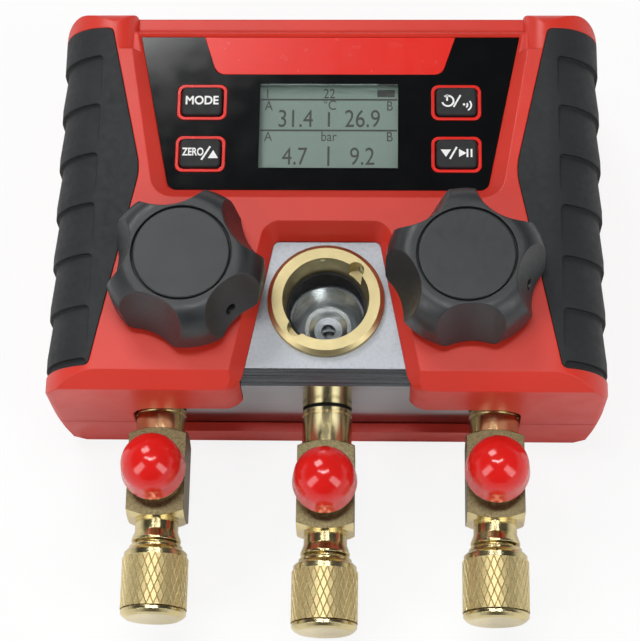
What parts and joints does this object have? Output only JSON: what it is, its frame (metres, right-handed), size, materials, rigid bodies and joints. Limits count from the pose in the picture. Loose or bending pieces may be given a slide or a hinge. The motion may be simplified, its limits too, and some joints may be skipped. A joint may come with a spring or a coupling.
{
  "type": "refrigerant manifold gauge",
  "caption": "Digital refrigerant manifold gauge with valve knobs, a sight glass, a display and capped flare ports on a metal block in a gripped housing.",
  "frame": {"origin": "centre of the housing's flat back", "axes": "+X to the right as the display is read, +Y towards the display end, +Z out of the face"},
  "size_m": [0.1494, 0.1671, 0.071],
  "materials": {
    "housing_red": "satin moulded plastic",
    "header_red": "smooth printed plastic",
    "grip_rubber": "matte overmoulded rubber",
    "panel_black": "glossy film",
    "window_glass": "clear window",
    "lcd_face": "grey-green liquid crystal display",
    "board_green": "coated circuit board",
    "switch_black": "moulded switch",
    "cell_jacket": "plain cell jacket",
    "steel": "zinc-plated steel",
    "aluminium_block": "tumbled and machined aluminium",
    "brass": "machined brass",
    "seal_rubber": "black seal rubber",
    "lens_glass": "clear glass",
    "key_rubber": "matte rubber key",
    "knob_black": "fine-textured moulded plastic",
    "dust_cap_red": "glossy soft plastic"
  },
  "bodies": {
    "root": {"front_housing": "housing_red", "rear_housing": "housing_red", "grip_left": "grip_rubber", "grip_right": "grip_rubber", "display_panel": "panel_black", "header_plate": "header_red", "button_frames": "header_red", "display_window": "window_glass", "lcd_module": "lcd_face", "circuit_board": "board_green", "key_switches": "switch_black", "battery_cells": "cell_jacket", "battery_contacts": "steel", "battery_cover": "housing_red", "battery_cover_screws": "steel", "case_screws": "steel", "block_screws": "steel", "manifold_block": "aluminium_block", "gallery_plug": "steel", "sight_glass_ring": "brass", "sight_glass_seal": "seal_rubber", "sight_glass_lens": "lens_glass", "port_seals": "seal_rubber", "hook_pin": "steel", "valve_gland_left": "brass", "spindle_seal_left": "seal_rubber", "pressure_sensor_left": "steel", "valve_gland_right": "brass", "spindle_seal_right": "seal_rubber", "pressure_sensor_right": "steel", "port_tee_left": "brass", "access_core_left": "brass", "port_tee_centre": "brass", "access_core_centre": "brass", "port_tee_right": "brass", "access_core_right": "brass"},
    "piston_left": {"valve_piston_left": "brass"},
    "knob_left": {"valve_spindle_left": "brass", "valve_knob_left": "knob_black", "knob_cap_left": "knob_black", "knob_screw_left": "steel"},
    "piston_right": {"valve_piston_right": "brass"},
    "knob_right": {"valve_spindle_right": "brass", "valve_knob_right": "knob_black", "knob_cap_right": "knob_black", "knob_screw_right": "steel"},
    "button_upper_left": {"button_upper_left": "key_rubber"},
    "button_upper_right": {"button_upper_right": "key_rubber"},
    "button_lower_left": {"button_lower_left": "key_rubber"},
    "button_lower_right": {"button_lower_right": "key_rubber"},
    "cap_seal_left": {"port_cap_seal_left": "seal_rubber"},
    "port_cap_left": {"port_cap_left": "brass"},
    "dust_cap_left": {"dust_cap_left": "dust_cap_red"},
    "cap_seal_centre": {"port_cap_seal_centre": "seal_rubber"},
    "port_cap_centre": {"port_cap_centre": "brass"},
    "dust_cap_centre": {"dust_cap_centre": "dust_cap_red"},
    "cap_seal_right": {"port_cap_seal_right": "seal_rubber"},
    "port_cap_right": {"port_cap_right": "brass"},
    "dust_cap_right": {"dust_cap_right": "dust_cap_red"},
    "hook": {"hanging_hook": "steel"}
  },
  "joints": [
    {"name": "valve_lift_left", "type": "slide", "parent": "root", "child": "piston_left", "axis": [0, 0, 1], "range_m": [0, 0.0025]},
    {"name": "valve_turn_left", "type": "hinge", "parent": "piston_left", "child": "knob_left", "pos_m": [-0.0365, -0.0248, 0.0555], "axis": [0, 0, 1], "range_deg": [0, 890]},
    {"name": "valve_lift_right", "type": "slide", "parent": "root", "child": "piston_right", "axis": [0, 0, 1], "range_m": [0, 0.0025]},
    {"name": "valve_turn_right", "type": "hinge", "parent": "piston_right", "child": "knob_right", "pos_m": [0.0365, -0.0248, 0.0555], "axis": [0, 0, 1], "range_deg": [0, 890]},
    {"name": "button_upper_left_press", "type": "slide", "parent": "root", "child": "button_upper_left", "axis": [0, 0, -1], "range_m": [0, 0.0008], "stiffness_N_per_m": 400, "springref_m": -0.0005},
    {"name": "button_upper_right_press", "type": "slide", "parent": "root", "child": "button_upper_right", "axis": [0, 0, -1], "range_m": [0, 0.0008], "stiffness_N_per_m": 400, "springref_m": -0.0005},
    {"name": "button_lower_left_press", "type": "slide", "parent": "root", "child": "button_lower_left", "axis": [0, 0, -1], "range_m": [0, 0.0008], "stiffness_N_per_m": 400, "springref_m": -0.0005},
    {"name": "button_lower_right_press", "type": "slide", "parent": "root", "child": "button_lower_right", "axis": [0, 0, -1], "range_m": [0, 0.0008], "stiffness_N_per_m": 400, "springref_m": -0.0005},
    {"name": "cap_travel_left", "type": "slide", "parent": "root", "child": "cap_seal_left", "axis": [0, -1, 0], "range_m": [0, 0.0127]},
    {"name": "cap_turn_left", "type": "hinge", "parent": "cap_seal_left", "child": "port_cap_left", "pos_m": [-0.0454, -0.0884, 0.02], "axis": [0, -1, 0], "range_deg": [0, 3590]},
    {"name": "dust_cap_pull_left", "type": "slide", "parent": "root", "child": "dust_cap_left", "axis": [0, 0, 1], "range_m": [0, 0.015]},
    {"name": "cap_travel_centre", "type": "slide", "parent": "root", "child": "cap_seal_centre", "axis": [0, -1, 0], "range_m": [0, 0.0127]},
    {"name": "cap_turn_centre", "type": "hinge", "parent": "cap_seal_centre", "child": "port_cap_centre", "pos_m": [0, -0.0916, 0.02], "axis": [0, -1, 0], "range_deg": [0, 3590]},
    {"name": "dust_cap_pull_centre", "type": "slide", "parent": "root", "child": "dust_cap_centre", "axis": [0, 0, 1], "range_m": [0, 0.015]},
    {"name": "cap_travel_right", "type": "slide", "parent": "root", "child": "cap_seal_right", "axis": [0, -1, 0], "range_m": [0, 0.0127]},
    {"name": "cap_turn_right", "type": "hinge", "parent": "cap_seal_right", "child": "port_cap_right", "pos_m": [0.0454, -0.0884, 0.02], "axis": [0, -1, 0], "range_deg": [0, 3590]},
    {"name": "dust_cap_pull_right", "type": "slide", "parent": "root", "child": "dust_cap_right", "axis": [0, 0, 1], "range_m": [0, 0.015]},
    {"name": "hook_fold", "type": "hinge", "parent": "root", "child": "hook", "pos_m": [0, 0.0495, 0.0042], "axis": [1, 0, 0], "range_deg": [0, 180]}
  ],
  "couplings": [
    {"joint": "valve_lift_left", "follows": "valve_turn_left", "m_per_rad": 0.00015915},
    {"joint": "valve_lift_right", "follows": "valve_turn_right", "m_per_rad": 0.00015915},
    {"joint": "cap_travel_left", "follows": "cap_turn_left", "m_per_rad": 0.00020213},
    {"joint": "cap_travel_centre", "follows": "cap_turn_centre", "m_per_rad": 0.00020213},
    {"joint": "cap_travel_right", "follows": "cap_turn_right", "m_per_rad": 0.00020213}
  ]
}
